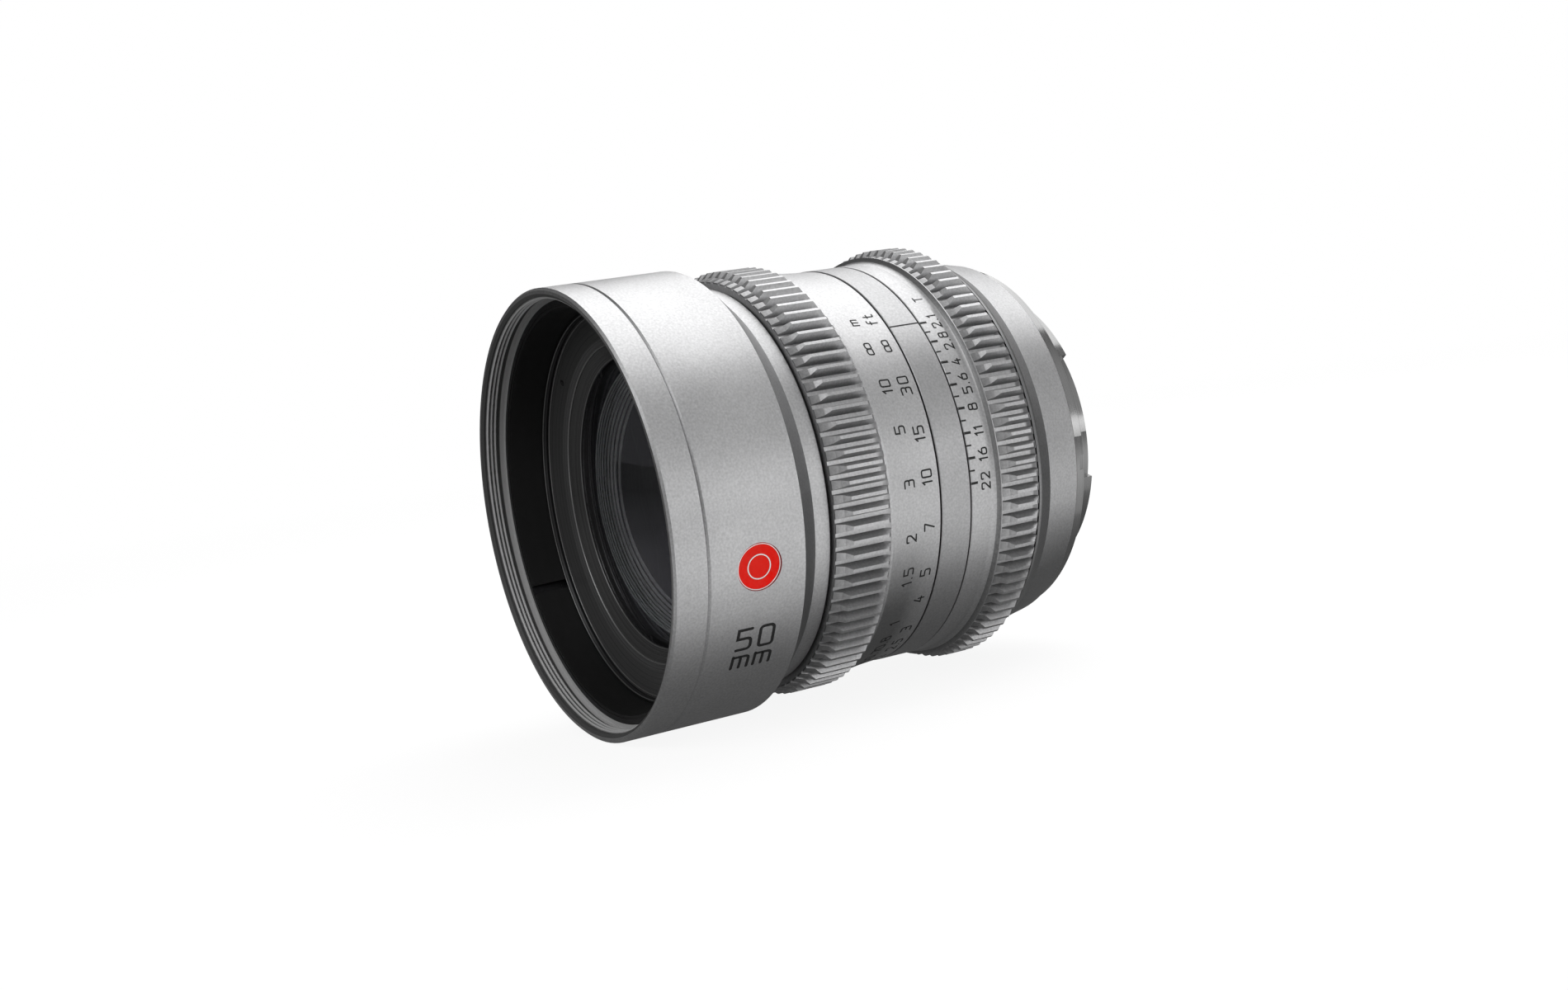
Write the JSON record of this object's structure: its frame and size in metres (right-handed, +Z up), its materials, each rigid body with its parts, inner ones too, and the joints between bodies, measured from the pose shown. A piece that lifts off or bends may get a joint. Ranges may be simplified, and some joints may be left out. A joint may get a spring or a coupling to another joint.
{
  "type": "cinema prime lens",
  "caption": "Cinema prime lens with a wide front barrel, geared focus and iris rings, an iris diaphragm and a bayonet mount.",
  "frame": {"origin": "on the optical axis, in the plane of the mount flange", "axes": "+Y along the optical axis from the front glass to the mount, +Z up, +X towards the side with the scales' index line"},
  "size_m": [0.08, 0.0934, 0.08],
  "materials": {
    "silver_anodised": "bead-blasted matte anodising",
    "black_anodised": "matte black anodising",
    "cell_black": "satin dark grey anodising",
    "bare_aluminium": "turned",
    "brass": "turned",
    "shim_brass": "rolled",
    "steel_screws": "turned",
    "mount_steel": "satin ground",
    "blade_steel": "blackened spring steel",
    "coated_glass": "polished, multicoated",
    "badge_enamel": "plain red enamel"
  },
  "bodies": {
    "housing": {"front_ring": "silver_anodised", "front_barrel": "silver_anodised", "badge_inlay": "badge_enamel", "inner_sleeve": "black_anodised", "main_tube": "bare_aluminium", "index_ring": "silver_anodised", "iris_base_plate": "bare_aluminium", "iris_retaining_ring": "cell_black", "rear_cell": "cell_black", "fourth_element": "coated_glass", "rear_spacer_front": "cell_black", "fifth_element": "coated_glass", "rear_spacer_back": "cell_black", "rear_element": "coated_glass", "rear_retainer": "cell_black", "rear_barrel": "silver_anodised", "mount_shim": "shim_brass", "bayonet_ring": "mount_steel", "mount_screws": "steel_screws", "rear_light_trap": "cell_black"},
    "focus_group": {"focus_ring": "silver_anodised", "cam_sleeve": "brass", "cam_dowels": "steel_screws"},
    "focus_cell": {"front_cell": "cell_black", "guide_key": "brass", "cam_followers": "brass", "cover_ring": "cell_black", "front_retainer": "cell_black", "front_element": "coated_glass", "baffle_spacer": "cell_black", "second_element": "coated_glass", "cell_spacer": "cell_black", "third_element": "coated_glass", "cell_retainer": "cell_black"},
    "iris_group": {"iris_ring": "silver_anodised", "iris_actuator": "bare_aluminium", "iris_drive_pins": "steel_screws"},
    "blade_1": {"iris_blade_1": "blade_steel"},
    "blade_2": {"iris_blade_2": "blade_steel"},
    "blade_3": {"iris_blade_3": "blade_steel"},
    "blade_4": {"iris_blade_4": "blade_steel"},
    "blade_5": {"iris_blade_5": "blade_steel"},
    "blade_6": {"iris_blade_6": "blade_steel"},
    "blade_7": {"iris_blade_7": "blade_steel"},
    "blade_8": {"iris_blade_8": "blade_steel"},
    "blade_9": {"iris_blade_9": "blade_steel"}
  },
  "joints": [
    {"name": "focus_turn", "type": "hinge", "parent": "housing", "child": "focus_group", "pos_m": [0, 0, 0], "axis": [0, -1, 0], "range_deg": [0, 113.4]},
    {"name": "focus_cell_slide", "type": "slide", "parent": "housing", "child": "focus_cell", "axis": [0, -1, 0], "range_m": [0, 0.005]},
    {"name": "iris_turn", "type": "hinge", "parent": "housing", "child": "iris_group", "pos_m": [0, 0, 0], "axis": [0, -1, 0], "range_deg": [0, 48.3]},
    {"name": "blade_1_pivot", "type": "hinge", "parent": "housing", "child": "blade_1", "pos_m": [0.0245, -0.0234, 0], "axis": [0, -1, 0], "range_deg": [0, 38]},
    {"name": "blade_2_pivot", "type": "hinge", "parent": "housing", "child": "blade_2", "pos_m": [0.01877, -0.0234, 0.01575], "axis": [0, -1, 0], "range_deg": [0, 38]},
    {"name": "blade_3_pivot", "type": "hinge", "parent": "housing", "child": "blade_3", "pos_m": [0.00425, -0.0234, 0.02413], "axis": [0, -1, 0], "range_deg": [0, 38]},
    {"name": "blade_4_pivot", "type": "hinge", "parent": "housing", "child": "blade_4", "pos_m": [-0.01225, -0.0234, 0.02122], "axis": [0, -1, 0], "range_deg": [0, 38]},
    {"name": "blade_5_pivot", "type": "hinge", "parent": "housing", "child": "blade_5", "pos_m": [-0.02302, -0.0234, 0.00838], "axis": [0, -1, 0], "range_deg": [0, 38]},
    {"name": "blade_6_pivot", "type": "hinge", "parent": "housing", "child": "blade_6", "pos_m": [-0.02302, -0.0234, -0.00838], "axis": [0, -1, 0], "range_deg": [0, 38]},
    {"name": "blade_7_pivot", "type": "hinge", "parent": "housing", "child": "blade_7", "pos_m": [-0.01225, -0.0234, -0.02122], "axis": [0, -1, 0], "range_deg": [0, 38]},
    {"name": "blade_8_pivot", "type": "hinge", "parent": "housing", "child": "blade_8", "pos_m": [0.00425, -0.0234, -0.02413], "axis": [0, -1, 0], "range_deg": [0, 38]},
    {"name": "blade_9_pivot", "type": "hinge", "parent": "housing", "child": "blade_9", "pos_m": [0.01877, -0.0234, -0.01575], "axis": [0, -1, 0], "range_deg": [0, 38]}
  ],
  "couplings": [
    {"joint": "focus_cell_slide", "follows": "focus_turn", "m_per_rad": 0.0025263},
    {"joint": "blade_1_pivot", "follows": "iris_turn", "ratio": 0.78675},
    {"joint": "blade_2_pivot", "follows": "iris_turn", "ratio": 0.78675},
    {"joint": "blade_3_pivot", "follows": "iris_turn", "ratio": 0.78675},
    {"joint": "blade_4_pivot", "follows": "iris_turn", "ratio": 0.78675},
    {"joint": "blade_5_pivot", "follows": "iris_turn", "ratio": 0.78675},
    {"joint": "blade_6_pivot", "follows": "iris_turn", "ratio": 0.78675},
    {"joint": "blade_7_pivot", "follows": "iris_turn", "ratio": 0.78675},
    {"joint": "blade_8_pivot", "follows": "iris_turn", "ratio": 0.78675},
    {"joint": "blade_9_pivot", "follows": "iris_turn", "ratio": 0.78675}
  ]
}
